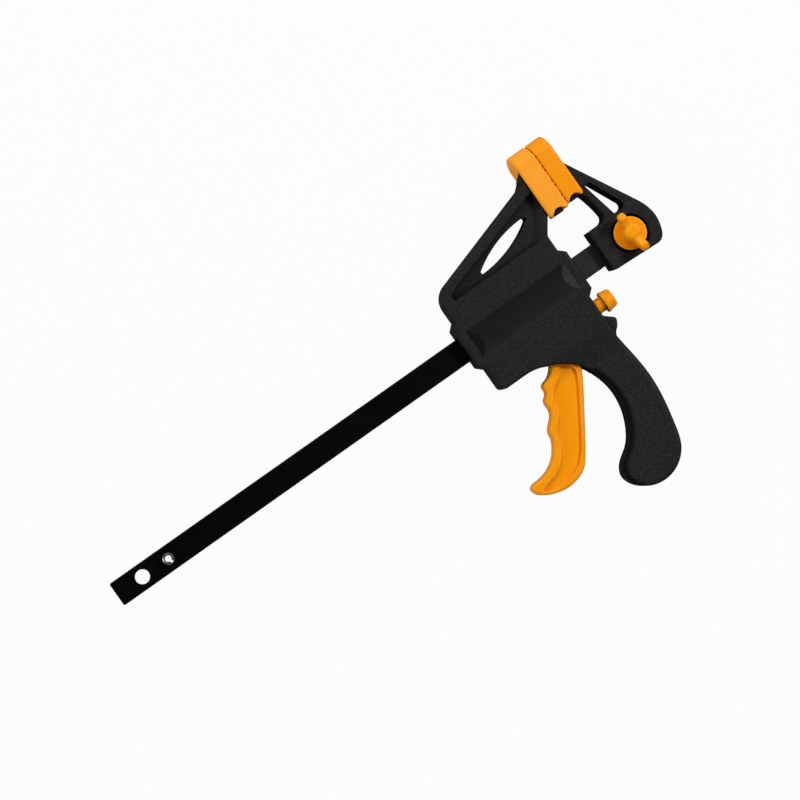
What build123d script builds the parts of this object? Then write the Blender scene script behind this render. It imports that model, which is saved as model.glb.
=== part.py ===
"""Quick release bar clamp, closed, lying on its far side.

Every piece is drawn in the bar's own frame, in millimetres: X runs along the bar from its free
end to the jaws, Y from the bar to the pads' tips, Z through the thickness to the knob's side, and
the origin is the centre of the hole near the bar's free end, halfway through the bar. write_part()
moves the pieces into the part's frame, whose origin is below the middle of the whole clamp, at the
height of the surface that it lies on.
"""

import math
import os

from build123d import *

# ---- bar ---------------------------------------------------------------------------------
BAR_WIDTH = 11.0
BAR_THICKNESS = 5.0
BAR_FREE_END = -13.2
BAR_HIDDEN_END = 262.0
HOLE_DIAMETER = 6.4  # clearance for the M6 clamp screw
CLAMP_HOLE_X = 253.1
STOP_PIN_X = 13.2
STOP_PIN_DIAMETER = 5.0
STOP_PIN_LENGTH = 12.0

# ---- housing ------------------------------------------------------------------------------
BODY_LEFT = 169.6
BODY_RIGHT = 223.1
BODY_BOTTOM = -23.6
BODY_HALF = 9.5  # half thickness of the body and the arm
HANDLE_HALF = 7.5
GUARD_HALF = 7.0
COLLAR_LEFT = 166.85
COLLAR_RIGHT = 225.95
COLLAR_HALF_HEIGHT = 9.4
COLLAR_CHAMFER = 2.6
CHANNEL_WIDTH = 11.4  # the bar's slot through the housing
CHANNEL_THICKNESS = 5.4
CHAMBER_HALF = 7.25  # half width of the hollow that holds the plates
CHAMBER_TOP = 10.5
CHAMBER_FLOOR = -22.0
DRIVE_CHAMBER = (174.0, 208.0)
BRAKE_CHAMBER = (209.6, 219.5)
EDGE_RADIUS = 1.4
HANDLE_EDGE_RADIUS = 2.0

# ---- arm of the movable jaw ---------------------------------------------------------------
ARM_END = 228.3  # back face of the movable pad
ARM_WEB_HALF = 6.0
POCKET_LEFT = 174.4
POCKET_BOTTOM = 19.2

# ---- pads ---------------------------------------------------------------------------------
CLOSING_PLANE = 238.0
PAD_HALF = 11.0
MOVABLE_PAD_BOTTOM = 24.6
FIXED_PAD_BOTTOM = 25.6
PAD_TOP = 56.1
PAD_SHOULDER = 50.6  # where the arched top meets the sides
PAD_SIDE_WALL = 1.5
PAD_TOP_WALL = 3.5
MOVABLE_PLATE = (231.0, 234.9)
FIXED_PLATE = (240.6, 243.4)
FIXED_PAD_BACK = 246.4
PAD_FIT = 0.1  # slack between a pad and the plate in it
GROOVE_PAIRS = (29.1, 36.4, 43.7, 51.0)
GROOVE_SPREAD = 1.15
GROOVE_DEPTH = 0.45

# ---- fixed jaw ----------------------------------------------------------------------------
JAW_HALF = 7.5
JAW_LEFT = 238.3
JAW_HEEL = 266.75
COUNTERBORE_DIAMETER = 16.8
COUNTERBORE_FLOOR = 6.0  # the washer lies here, sunk in the jaw's near face
NUT_ACROSS_FLATS = 10.0
NUT_THICKNESS = 4.0

# ---- wing knob and clamp screw ------------------------------------------------------------
KNOB_Y = 0.1
KNOB_LEAN = 4.5  # degrees that the wings lean from the Y direction
WASHER_THICKNESS = 0.8
KNOB_DISC_DIAMETER = 14.3
KNOB_DISC_THICKNESS = 1.8
WING_SPAN = 19.0
WING_THICKNESS = 3.6
WING_HEIGHT = 9.0
HUB_DIAMETER = 7.6
SCREW_DIAMETER = 6.0

# ---- trigger and drive plates -------------------------------------------------------------
PIVOT = (202.0, -19.0)
PIVOT_PIN_DIAMETER = 4.0
TRIGGER_HALF = 6.0
TRIGGER_EDGE_RADIUS = 1.0
TRIGGER_RECESS_DEPTH = 1.8
TRIGGER_HEAD_RADIUS = 5.5
TRIGGER_NOSE = (197.5, -10.5)
TRIGGER_NOSE_RADIUS = 2.8
TRIGGER_BACK_LOW = (183.4, -66.2)  # ends of the straight side that faces the handle
TRIGGER_BACK_HIGH = (203.4, -35.1)
TRIGGER_TRAVEL = 18.0  # degrees
NOSE_GAP = 0.3
PLATE_THICKNESS = 3.0
PLATE_HALF_WIDTH = 6.2
DRIVE_PLATE_TOP = 9.0
DRIVE_PLATE_BOTTOM = -17.0
SPRING_WIRE = 0.9
DRIVE_SPRING_DIAMETER = 13.3  # middle of the wire

# ---- brake and release button -------------------------------------------------------------
BRAKE_HINGE = (212.4, 9.0)
BRAKE_TILT = 6.9  # degrees from upright at rest
BRAKE_PLATE_LENGTH = 29.0
BRAKE_SLOT_HEIGHT = 11.6
BRAKE_SPRING_Y = -11.5
BRAKE_SPRING_DIAMETER = 4.4
BUTTON_Y = -17.85
BUTTON_STEM_DIAMETER = 6.6
BUTTON_CAP_DIAMETER = 9.6
BUTTON_CAP_LENGTH = 5.2
BUTTON_INNER_END = 217.4
BUTTON_RING_X = 218.6
BUTTON_RING_DIAMETER = 8.6
BUTTON_TRAVEL = 2.6
BUTTON_STOP_GAP = 1.7  # left between cap and body when the button is pressed

# ---- fasteners of the housing -------------------------------------------------------------
SCREW_PLACES = ((177.2, 15.2), (216.6, 14.6), (216.6, -28.5), (217.6, -60.0), (203.5, -86.0))
SCREW_HEAD_DIAMETER = 5.2
SCREW_SHANK_DIAMETER = 2.6

# ---- the part's frame ---------------------------------------------------------------------
HANDLE_BOTTOM = -94.5
PART_ORIGIN = ((BAR_FREE_END + JAW_HEEL) / 2, (HANDLE_BOTTOM + PAD_TOP) / 2, -PAD_HALF)

X_SECTION = Plane.YZ  # sketch axes: first Y, second Z, drawn looking along -X


def box_between(x, y, z):
    """A box from its three (low, high) spans."""
    size = [high - low for low, high in (x, y, z)]
    middle = [(low + high) / 2 for low, high in (x, y, z)]
    return Pos(*middle) * Box(*size)


def prism(outline, low, high):
    """A face drawn in XY, raised from z = low to z = high."""
    return Pos(0, 0, low) * extrude(outline, high - low)


def bar_along_x(outline, start, end):
    """A face drawn in YZ, run from x = start to x = end."""
    return Pos(start, 0, 0) * extrude(X_SECTION * outline, end - start)


def rod(diameter, centre, start, end, axis="Z"):
    """A round bar along X or Z, centred on the other two coordinates."""
    length = end - start
    turn = Rot(0, 90, 0) if axis == "X" else Rot(0, 0, 0)
    place = Pos((start + end) / 2, *centre) if axis == "X" else Pos(*centre, (start + end) / 2)
    return place * turn * Cylinder(diameter / 2, length)


def rounded_polygon(corners):
    """A face from its corners, each given as (x, y, radius of its rounding).

    A rounding takes at most half of the shorter side beside its corner.
    """
    points = [Vector(x, y) for x, y, _ in corners]
    edges, joints = [], []
    for index, (_, _, radius) in enumerate(corners):
        corner = points[index]
        back = points[index - 1] - corner
        ahead = points[(index + 1) % len(points)] - corner
        half_angle = math.radians(back.get_angle(ahead)) / 2
        reach = min(radius / math.tan(half_angle), back.length / 2, ahead.length / 2)
        enter, leave = corner + back.normalized() * reach, corner + ahead.normalized() * reach
        if reach > 0:
            bisector = (back.normalized() + ahead.normalized()).normalized()
            depth = reach * (1 - math.sin(half_angle)) / math.cos(half_angle)
            edges.append(ThreePointArc(enter, corner + bisector * depth, leave))
        joints.append((enter, leave))
    for index, (_, leave) in enumerate(joints):
        enter = joints[(index + 1) % len(joints)][0]
        if (enter - leave).length > 0.01:
            edges.append(Line(leave, enter))
    return make_face(edges)


# ---- bar and stop pin ---------------------------------------------------------------------
def make_bar():
    body = box_between((BAR_FREE_END, BAR_HIDDEN_END), (-BAR_WIDTH / 2, BAR_WIDTH / 2),
                       (-BAR_THICKNESS / 2, BAR_THICKNESS / 2))
    body = chamfer(body.edges().filter_by(Axis.X), 0.35)
    free_corners = body.edges().filter_by(Axis.Z).group_by(Axis.X)[0]
    body = fillet(free_corners, 0.8)
    for x, diameter in ((0, HOLE_DIAMETER), (CLAMP_HOLE_X, HOLE_DIAMETER),
                        (STOP_PIN_X, STOP_PIN_DIAMETER)):
        body -= rod(diameter, (x, KNOB_Y if x == CLAMP_HOLE_X else 0), -4, 4)
    return body


def make_stop_pin():
    """Rolled spring pin: a tube with one slit along it."""
    half = STOP_PIN_LENGTH / 2
    tube = rod(STOP_PIN_DIAMETER, (0, 0), -half, half) - rod(3.0, (0, 0), -half - 1, half + 1)
    ends = tube.edges().filter_by(GeomType.CIRCLE).sort_by(SortBy.RADIUS)[-2:]
    tube = chamfer(ends, 0.4)
    slit = box_between((0, STOP_PIN_DIAMETER), (-0.45, 0.45), (-half - 1, half + 1))
    return Pos(STOP_PIN_X, 0, 0) * Rot(0, 0, -70) * (tube - slit)


# ---- housing ------------------------------------------------------------------------------
def collar_side(x_body, x_collar):
    """The stepped end of the body, from bottom to top, that guides the bar."""
    shoulder = COLLAR_HALF_HEIGHT + COLLAR_CHAMFER
    return [(x_body, -shoulder, 0), (x_collar, -COLLAR_HALF_HEIGHT, 0),
            (x_collar, COLLAR_HALF_HEIGHT, 0), (x_body, shoulder, 0)]


def body_outline():
    """Body and arm seen from the side, with the arched edge over the fingers."""
    left = collar_side(BODY_LEFT, COLLAR_LEFT)
    right = collar_side(BODY_RIGHT, COLLAR_RIGHT)[::-1]
    foot = -39.5  # inside the handle
    block = rounded_polygon([
        (206.2, foot, 0), (206.2, BODY_BOTTOM, 0), (BODY_LEFT, BODY_BOTTOM, 2.2), *left,
        (BODY_LEFT, 25.2, 10.5), (224.7, 42.5, 3.0), (ARM_END, 45.7, 0), (ARM_END, 27.4, 0),
        (227.2, 25.0, 2.0), (BODY_RIGHT, 19.3, 3.0), *right, (BODY_RIGHT, foot, 0)])
    arch_start, arch_end = (181.5, BODY_BOTTOM), (206.2, foot)
    arch = Spline(arch_start, (190.4, -25.5), (198.2, -29.7), (203.6, -34.6), arch_end,
                  tangents=((1, 0), (0.35, -1)))
    corner = (arch_end[0], arch_start[1])
    return block + make_face([arch, Line(arch_end, corner), Line(corner, arch_start)])


def guard_outline():
    """Hooked lip that keeps the hand below the body."""
    return rounded_polygon([
        (216.0, -16.0, 0), (221.0, -20.0, 0), (227.9, -25.9, 1.5), (226.2, -28.9, 1.8),
        (223.4, -31.6, 4.0), (223.2, -36.0, 0), (216.0, -36.0, 0)])


def handle_outline():
    """Palm side from top to bottom, rounded foot, then the inner side back up into the body."""
    top_right, top_left = (222.8, -26.0), (200.2, -29.6)
    side = Spline(top_right, (223.4, -33.0), (224.9, -44.5), (225.5, -54.0), (224.5, -66.0),
                  (222.1, -78.0), (219.0, -86.8), (213.6, -92.1), (205.5, HANDLE_BOTTOM),
                  (198.0, -92.7), (192.9, -87.8), (191.7, -83.3), (194.4, -78.1),
                  (200.1, -73.9), (205.9, -66.0), (208.9, -56.5), (209.1, -49.5),
                  (207.0, -41.2), (203.5, -34.6), top_left)
    return make_face([side, Line(top_left, top_right)])


def housing_thickness_outline():
    """Side view along X: the body's full thickness, narrowing smoothly into the handle."""
    high, low, step_top, step_bottom = 60.0, -100.0, -24.0, -38.0
    right = [Line((high, BODY_HALF), (step_top, BODY_HALF)),
             Spline((step_top, BODY_HALF), (step_bottom, HANDLE_HALF),
                    tangents=((-1, 0), (-1, 0))),
             Line((step_bottom, HANDLE_HALF), (low, HANDLE_HALF))]
    left = [edge.mirror(Plane.XZ) for edge in right]
    ends = [Line((y, -half), (y, half)) for y, half in ((high, BODY_HALF), (low, HANDLE_HALF))]
    return make_face(right + left + ends)


def rim_edges(slab, least_height):
    """The closed edge loops round the two broad sides of a slab."""
    sides = slab.faces().filter_by(lambda face: abs(face.center().Z) > least_height)
    uses = {}
    for edge in sides.edges():
        key = tuple(round(value, 3) for value in edge.center())
        uses.setdefault(key, []).append(edge)
    return [edges[0] for edges in uses.values() if len(edges) == 1]


def rounded_slab(outline, radius):
    """A piece of the housing: its outline at the housing's thickness, with rounded outer edges."""
    slab = prism(outline, -BODY_HALF, BODY_HALF)
    slab &= bar_along_x(housing_thickness_outline(), COLLAR_LEFT - 5, ARM_END + 5)
    return fillet(rim_edges(slab, HANDLE_HALF - 0.1), radius)


def arm_horn():
    """Small rise of the arm's near side against the pad's back."""
    side = make_face(Polyline((226.0, 44.0), (ARM_END, 48.7), (ARM_END, 44.0), close=True))
    across = make_face(Polyline((44.0, -1.0), (46.0, -1.0), (46.7, 3.0), (47.6, 7.0),
                                (48.7, 9.2), (44.0, 9.2), close=True))
    return prism(side, -1, BODY_HALF) & bar_along_x(across, 225, ARM_END + 1)


def arm_pocket(face_height):
    """One pocket in the side of the arm: steep walls, but a long slope beside the front rib."""
    past_end = ARM_END + 0.4
    rim = Polyline((POCKET_LEFT, POCKET_BOTTOM), (219.9, POCKET_BOTTOM), (past_end, 30.2),
                   (past_end, 39.2), (179.1, 24.4), (POCKET_LEFT, 22.2), close=True)
    floor = Polyline((175.2, 20.4), (216.7, 20.4), (past_end, 36.6),
                     (past_end, 39.0), (179.2, 24.2), (175.2, 22.2), close=True)
    return loft([Pos(0, 0, face_height) * make_face(rim),
                 Pos(0, 0, ARM_WEB_HALF) * make_face(floor)], ruled=True)


def lens_slot():
    """Long lens-shaped opening through the arm's web."""
    left, right = (189.2, 21.8), (222.1, 31.7)
    upper = ThreePointArc(left, (204.9, 29.7), right)
    lower = ThreePointArc(right, (206.9, 24.0), left)
    slot = prism(make_face([upper, lower]), -12, 12)
    return fillet(slot.edges().filter_by(Axis.Z), 0.9)


def panel_scoop():
    """Shallow dish along the body's near face, with a sloped facet at each end."""
    start, end, low, high, depth = 170.6, 221.95, -7.4, 6.35, 1.0
    chord = high - low
    radius = chord ** 2 / (8 * depth) + depth / 2
    axis_z = BODY_HALF - depth + radius
    dish = rod(2 * radius, ((low + high) / 2, axis_z), start - 5, end + 5, axis="X")
    side = Polyline((start, BODY_HALF), (174.8, BODY_HALF - depth - 0.02),
                    (218.1, BODY_HALF - depth - 0.02), (end, BODY_HALF), close=True)
    facets = extrude(Plane.XZ * make_face(side), 20, both=True)
    return dish & facets


def pulled(x, y):
    """Where a point of the trigger is when the trigger is fully pulled."""
    angle = math.radians(TRIGGER_TRAVEL)
    across, up = x - PIVOT[0], y - PIVOT[1]
    return (PIVOT[0] + across * math.cos(angle) - up * math.sin(angle),
            PIVOT[1] + across * math.sin(angle) + up * math.cos(angle))


def trigger_opening():
    """Room for the trigger through the floor of the body, to its fully pulled place."""
    clearance = 0.4
    back = [pulled(x, y) for x, y in (TRIGGER_BACK_LOW, TRIGGER_BACK_HIGH)]
    knee, low = back[1], Vector(*back[0])
    down = (low - Vector(*knee)).normalized()
    exit_point = Vector(*knee) + down * 10.0
    sweep = Polyline((188.5, -20), (188.5, -34), (exit_point.X - 3, exit_point.Y - 2),
                     (exit_point.X + clearance, exit_point.Y), (knee[0] + clearance, knee[1]),
                     (DRIVE_CHAMBER[1] + 0.2, -20), close=True)
    return prism(make_face(sweep), -TRIGGER_HALF - 0.3, TRIGGER_HALF + 0.3)


def housing_hollows():
    """What is cut from the whole housing before it is split into its two halves."""
    channel = box_between((COLLAR_LEFT - 1, COLLAR_RIGHT + 1),
                          (-CHANNEL_WIDTH / 2, CHANNEL_WIDTH / 2),
                          (-CHANNEL_THICKNESS / 2, CHANNEL_THICKNESS / 2))
    chambers = [box_between(span, (CHAMBER_FLOOR, CHAMBER_TOP), (-CHAMBER_HALF, CHAMBER_HALF))
                for span in (DRIVE_CHAMBER, BRAKE_CHAMBER)]
    button_hole = rod(BUTTON_STEM_DIAMETER + 0.2, (BUTTON_Y, 0), BRAKE_CHAMBER[1] - 1,
                      COLLAR_RIGHT + 1, axis="X")
    pin_hole = rod(PIVOT_PIN_DIAMETER, PIVOT, -BODY_HALF + 1.0, BODY_HALF - 1.0)
    return [channel, *chambers, button_hole, pin_hole, trigger_opening(), lens_slot()]


def arched_section(bottom, shrink_side=0, shrink_top=0):
    """Section of a pad across X: straight sides and an arched top, in Y and Z."""
    half = PAD_HALF - shrink_side
    shoulder, top = PAD_SHOULDER - shrink_top, PAD_TOP - shrink_top
    return make_face([Polyline((shoulder, -half), (bottom, -half), (bottom, half),
                               (shoulder, half)),
                      ThreePointArc((shoulder, half), (top, 0), (shoulder, -half))])


def jaw_plate(x_span, bottom, neck_span, neck_half, neck_y):
    """Plate inside a pad, and the neck that joins it to its jaw through the pad's back."""
    section = arched_section(bottom, PAD_SIDE_WALL + PAD_FIT, PAD_TOP_WALL + PAD_FIT)
    return (bar_along_x(section, *x_span)
            + box_between(neck_span, neck_y, (-neck_half, neck_half)))


def make_housing_halves():
    body = (rounded_slab(body_outline(), EDGE_RADIUS)
            + rounded_slab(handle_outline(), HANDLE_EDGE_RADIUS))
    guard = prism(guard_outline(), -GUARD_HALF, GUARD_HALF)
    body += fillet(rim_edges(guard, GUARD_HALF - 0.1), EDGE_RADIUS)
    pocket = arm_pocket(BODY_HALF + 0.05)
    body = body - pocket - mirror(pocket, Plane.XY) - panel_scoop()
    for hollow in housing_hollows():
        body -= hollow
    body += jaw_plate(MOVABLE_PLATE, MOVABLE_PAD_BOTTOM - 0.4,
                      (ARM_END - 1, MOVABLE_PLATE[0]), 8.3, (27.6, 45.4)) + arm_horn()
    near = body & box_between((100, 300), (-120, 80), (0, 20))
    far = body & box_between((100, 300), (-120, 80), (-20, 0))
    for place in SCREW_PLACES:
        half = BODY_HALF if place[1] > -30 else HANDLE_HALF
        far -= rod(SCREW_SHANK_DIAMETER + 0.1, place, -12, 1)
        far -= rod(SCREW_HEAD_DIAMETER + 0.6, place, -12, 2.6 - half)
        near -= rod(SCREW_SHANK_DIAMETER + 0.1, place, -1, 5.2)
    return near, far


def make_housing_screws():
    """Pan-headed self-tapping screws, heads sunk in the far half."""
    screws = []
    for place in SCREW_PLACES:
        half = BODY_HALF if place[1] > -30 else HANDLE_HALF
        top = 2.6 - half
        head = rod(SCREW_HEAD_DIAMETER, place, top - 1.8, top)
        head = fillet(head.edges().sort_by(Axis.Z)[0], 0.8)
        shank = rod(SCREW_SHANK_DIAMETER, place, top, 5.0)
        recess = [Pos(*place, top - 1.8) * Rot(0, 0, angle) * Box(2.8, 0.7, 1.4)
                  for angle in (45, 135)]
        screws.append((head + shank) - recess[0] - recess[1])
    return Compound(screws)


# ---- pads ---------------------------------------------------------------------------------
def make_pad(back, bottom, plate_span, neck_half, neck_top):
    """Soft cap with an arched top, hollowed from below, its back open for the jaw's neck."""
    below = bottom - 5
    start, end = min(back, CLOSING_PLANE), max(back, CLOSING_PLANE)
    blank = bar_along_x(arched_section(bottom), start, end)
    ends = blank.faces().filter_by(Axis.X)
    long_edges = blank.edges().filter_by(Axis.X)
    blank = fillet(ends.edges() + long_edges, 1.2)
    section = arched_section(below, PAD_SIDE_WALL, PAD_TOP_WALL)
    cavity = bar_along_x(section, plate_span[0] - PAD_FIT, plate_span[1] + PAD_FIT)
    slot_x = (start - 1, plate_span[0]) if back < CLOSING_PLANE else (plate_span[1], end + 1)
    slot = box_between(slot_x, (below, neck_top + PAD_FIT),
                       (-neck_half - PAD_FIT, neck_half + PAD_FIT))
    pad = blank - cavity - slot
    arch_radius = 3.2
    pad -= prism(Pos(sum(plate_span) / 2, bottom - 1.0) * Circle(arch_radius),
                 -PAD_HALF - 1, PAD_HALF + 1)
    side = GROOVE_DEPTH * math.sqrt(2)
    for middle in GROOVE_PAIRS:
        for offset in (-GROOVE_SPREAD, GROOVE_SPREAD):
            groove = Box(side, side, 2 * PAD_HALF + 2)
            pad -= Pos(CLOSING_PLANE, middle + offset, 0) * Rot(0, 0, 45) * groove
    return pad


# ---- fixed jaw ----------------------------------------------------------------------------
def fixed_jaw_outline():
    """Base round the bar's end, and the strut up to the pad plate, seen from the side."""
    base_top, base_bottom = 10.5, -9.3
    edges = [
        Polyline((240.2, base_bottom), (JAW_LEFT, base_bottom + 0.8), (JAW_LEFT, base_top),
                 (245.1, base_top)),
        ThreePointArc((245.1, base_top), (247.3, 11.5), (248.1, 13.8)),
        ThreePointArc((248.1, 13.8), (247.3, 19.2), (245.6, 25.2)),
        Polyline((245.6, 25.2), (FIXED_PLATE[1] - 0.4, 28.0), (FIXED_PLATE[1] - 0.4, 44.0),
                 (246.2, 42.2)),
        Line((246.2, 42.2), (263.5, 10.8)),
        Spline((263.5, 10.8), (265.4, 6.8), (JAW_HEEL, 0.4), (265.9, -4.9), (263.6, -9.2),
               (260.2, -10.2)),
        Line((260.2, -10.2), (240.2, base_bottom)),
    ]
    return make_face(edges)


def jaw_window():
    """Triangular opening between the jaw's two struts."""
    return prism(rounded_polygon([(252.4, 10.6, 1.0), (259.4, 10.6, 2.4), (251.2, 27.9, 0.9),
                                  (248.5, 27.9, 0.7)]), -12, 12)


def make_fixed_jaw():
    jaw = prism(fixed_jaw_outline(), -JAW_HALF, JAW_HALF)
    jaw = fillet(jaw.faces().filter_by(Axis.Z).edges(), 0.9)
    jaw += jaw_plate(FIXED_PLATE, FIXED_PAD_BOTTOM - 0.2, (FIXED_PLATE[1] - 0.2, 246.6),
                     JAW_HALF - 0.9, (27.6, 43.6))
    jaw -= jaw_window()
    jaw -= box_between((JAW_LEFT - 1, BAR_HIDDEN_END + 0.2),
                       (-BAR_WIDTH / 2 - 0.1, BAR_WIDTH / 2 + 0.1),
                       (-BAR_THICKNESS / 2 - 0.1, BAR_THICKNESS / 2 + 0.1))
    place = (CLAMP_HOLE_X, KNOB_Y)
    jaw -= rod(HOLE_DIAMETER, place, -12, 12)
    jaw -= rod(COUNTERBORE_DIAMETER, place, COUNTERBORE_FLOOR, 12)
    pocket = extrude(RegularPolygon((NUT_ACROSS_FLATS + 0.1) / 2, 6, major_radius=False), 6)
    jaw -= Pos(*place, -JAW_HALF + NUT_THICKNESS - 6) * pocket
    return jaw


def make_jaw_nut():
    """Hexagon nut with its outer corners cut at 30 degrees."""
    height, flat = NUT_THICKNESS - 0.1, NUT_ACROSS_FLATS / 2
    nut = extrude(RegularPolygon(flat, 6, major_radius=False), height)
    cone_foot = flat - 0.35
    cone = Cone(cone_foot, cone_foot + height * math.tan(math.radians(60)), height)
    nut &= Pos(0, 0, height / 2) * cone
    nut -= rod(SCREW_DIAMETER + 0.12, (0, 0), -1, height + 1)
    return Pos(CLAMP_HOLE_X, KNOB_Y, -JAW_HALF) * nut


# ---- wing knob ----------------------------------------------------------------------------
def make_knob_washer():
    washer = rod(13.6, (0, 0), 0, WASHER_THICKNESS) - rod(6.4, (0, 0), -1, 2)
    return Pos(CLAMP_HOLE_X, KNOB_Y, COUNTERBORE_FLOOR) * washer


def make_wing_knob():
    """Disc, two rounded wings and a domed hub, moulded round the screw's end."""
    foot = COUNTERBORE_FLOOR + WASHER_THICKNESS
    disc = rod(KNOB_DISC_DIAMETER, (0, 0), 0, KNOB_DISC_THICKNESS)
    disc = fillet(disc.edges().sort_by(Axis.Z)[-1], 0.6)
    top = KNOB_DISC_THICKNESS + WING_HEIGHT
    half = WING_SPAN / 2
    side = make_face([
        Polyline((-4.6, KNOB_DISC_THICKNESS - 0.3), (4.6, KNOB_DISC_THICKNESS - 0.3)),
        Spline((4.6, KNOB_DISC_THICKNESS - 0.3), (half - 1.0, KNOB_DISC_THICKNESS + 3.6),
               (half, top - 2.6)),
        ThreePointArc((half, top - 2.6), (half - 0.9, top - 0.6), (half - 3.0, top)),
        ThreePointArc((half - 3.0, top), (0, top - 2.4), (3.0 - half, top)),
        ThreePointArc((3.0 - half, top), (0.9 - half, top - 0.6), (-half, top - 2.6)),
        Spline((-half, top - 2.6), (1.0 - half, KNOB_DISC_THICKNESS + 3.6),
               (-4.6, KNOB_DISC_THICKNESS - 0.3)),
    ])
    wings = extrude(X_SECTION * side, WING_THICKNESS / 2, both=True)
    wings = fillet(wings.faces().filter_by(Axis.X).edges(), 1.2)
    hub = rod(HUB_DIAMETER, (0, 0), KNOB_DISC_THICKNESS - 0.3, top - 1.6)
    hub = fillet(hub.edges().sort_by(Axis.Z)[-1], 2.2)
    knob = disc + wings + hub
    knob -= rod(SCREW_DIAMETER, (0, 0), -1, 6.0)
    return Pos(CLAMP_HOLE_X, KNOB_Y, foot) * Rot(0, 0, KNOB_LEAN) * knob


def make_clamp_screw():
    screw = rod(SCREW_DIAMETER, (CLAMP_HOLE_X, KNOB_Y), -JAW_HALF + 0.2,
                COUNTERBORE_FLOOR + WASHER_THICKNESS + 6.0)
    return chamfer(screw.edges().sort_by(Axis.Z)[0], 0.6)


# ---- trigger and drive --------------------------------------------------------------------
def trigger_outline():
    """Lever seen from the side: scalloped for the fingers, straight at the back."""
    head = [(207.0, -21.5, 0), (206.0, -15.0, 0), (199.5, -9.0, 0), (195.9, -12.0, 0),
            (195.9, -20.5, 4.0)]
    scallops = [(193.2, -26.4, 4.0), (189.7, -30.7, 2.5), (185.4, -31.9, 1.2),
                (184.9, -35.3, 3.0), (182.2, -38.0, 1.5), (182.1, -43.3, 3.0),
                (176.4, -49.3, 2.0), (175.8, -53.0, 4.0), (170.8, -60.4, 9.0),
                (163.8, -63.7, 7.0)]
    tip = [(156.8, -64.0, 1.3), (156.6, -67.6, 2.5), (161.4, -71.6, 5.0), (169.8, -73.5, 10.0),
           (178.8, -71.0, 8.0)]
    back = [(*TRIGGER_BACK_LOW, 4.0), (*TRIGGER_BACK_HIGH, 6.0)]
    return rounded_polygon(head + scallops + tip + back)


def trigger_recess():
    """Shallow side pocket that follows the lever's outline."""
    return rounded_polygon([
        (200.5, -36.2, 3.0), (182.0, -65.2, 6.0), (176.4, -68.4, 5.0), (168.4, -69.8, 6.0),
        (161.4, -67.6, 1.6), (168.8, -65.6, 6.0), (175.0, -61.0, 6.0), (179.1, -54.4, 5.0),
        (180.6, -50.2, 3.0), (185.6, -44.6, 3.0), (186.3, -39.6, 3.0), (189.2, -35.2, 3.0),
        (194.4, -33.4, 3.0), (198.0, -30.0, 3.0)])


def make_trigger():
    lever = prism(trigger_outline(), -TRIGGER_HALF, TRIGGER_HALF)
    lever = fillet(lever.faces().filter_by(Axis.Z).edges(), TRIGGER_EDGE_RADIUS)
    lever += rod(2 * TRIGGER_HEAD_RADIUS, PIVOT, -TRIGGER_HALF, TRIGGER_HALF)
    lever += rod(2 * TRIGGER_NOSE_RADIUS, TRIGGER_NOSE, -TRIGGER_HALF, TRIGGER_HALF)
    for low in (TRIGGER_HALF - TRIGGER_RECESS_DEPTH, -TRIGGER_HALF):
        lever -= prism(trigger_recess(), low, low + TRIGGER_RECESS_DEPTH)
    lever -= rod(PIVOT_PIN_DIAMETER + 0.1, PIVOT, -10, 10)
    return lever


def make_trigger_pivot_pin():
    pin = rod(PIVOT_PIN_DIAMETER, PIVOT, -BODY_HALF + 1.1, BODY_HALF - 1.1)
    return chamfer(pin.edges().filter_by(GeomType.CIRCLE), 0.3)


def slotted_plate(length, top, thickness, slot_height):
    """Steel plate across the bar, with the bar's slot through it, centred on x = 0."""
    plate = box_between((-thickness / 2, thickness / 2), (top - length, top),
                        (-PLATE_HALF_WIDTH, PLATE_HALF_WIDTH))
    plate = fillet(plate.edges().filter_by(Axis.X), 0.8)
    return plate - box_between((-thickness, thickness), (-slot_height / 2, slot_height / 2),
                               (-BAR_THICKNESS / 2 - 0.15, BAR_THICKNESS / 2 + 0.15))


def drive_plate_x(number):
    """Middle of a drive plate; number 0 is the front one, against the trigger's nose."""
    nose = TRIGGER_NOSE[0] - TRIGGER_NOSE_RADIUS
    return nose - NOSE_GAP - PLATE_THICKNESS / 2 - number * (PLATE_THICKNESS + 0.1)


def make_drive_plate(number):
    plate = slotted_plate(DRIVE_PLATE_TOP - DRIVE_PLATE_BOTTOM, DRIVE_PLATE_TOP, PLATE_THICKNESS,
                          BAR_WIDTH + 0.3)
    return Pos(drive_plate_x(number), 0, 0) * plate


def coil_spring(length, diameter, wire, turns):
    """Open coil spring along X from x = 0, with one part turn flat at each end."""
    path = Helix(pitch=(length - wire) / turns, height=length - wire, radius=diameter / 2)
    section = Plane(origin=path @ 0, z_dir=path % 0) * Circle(wire / 2)
    coil = sweep(section, path=path, is_frenet=True)
    return Pos(wire / 2, 0, 0) * Rot(0, 90, 0) * coil


def make_drive_spring():
    start = DRIVE_CHAMBER[0]
    end = drive_plate_x(1) - PLATE_THICKNESS / 2
    coil = coil_spring(end - start - 0.1, DRIVE_SPRING_DIAMETER, SPRING_WIRE, 5.5)
    return Pos(start + 0.05, 0, 0) * coil


# ---- brake and release --------------------------------------------------------------------
def make_brake_plate():
    """Lock plate, tilted on its upper end so that its slot bites on the bar."""
    hinge_x, hinge_y = BRAKE_HINGE
    slope = math.radians(BRAKE_TILT)
    along = hinge_y / math.cos(slope)  # from the hinge to the bar's middle, along the plate
    plate = slotted_plate(BRAKE_PLATE_LENGTH + 0.8, along + 0.8, PLATE_THICKNESS, BRAKE_SLOT_HEIGHT)
    return Pos(hinge_x, hinge_y, 0) * Rot(0, 0, BRAKE_TILT) * Pos(0, -along, 0) * plate


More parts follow.
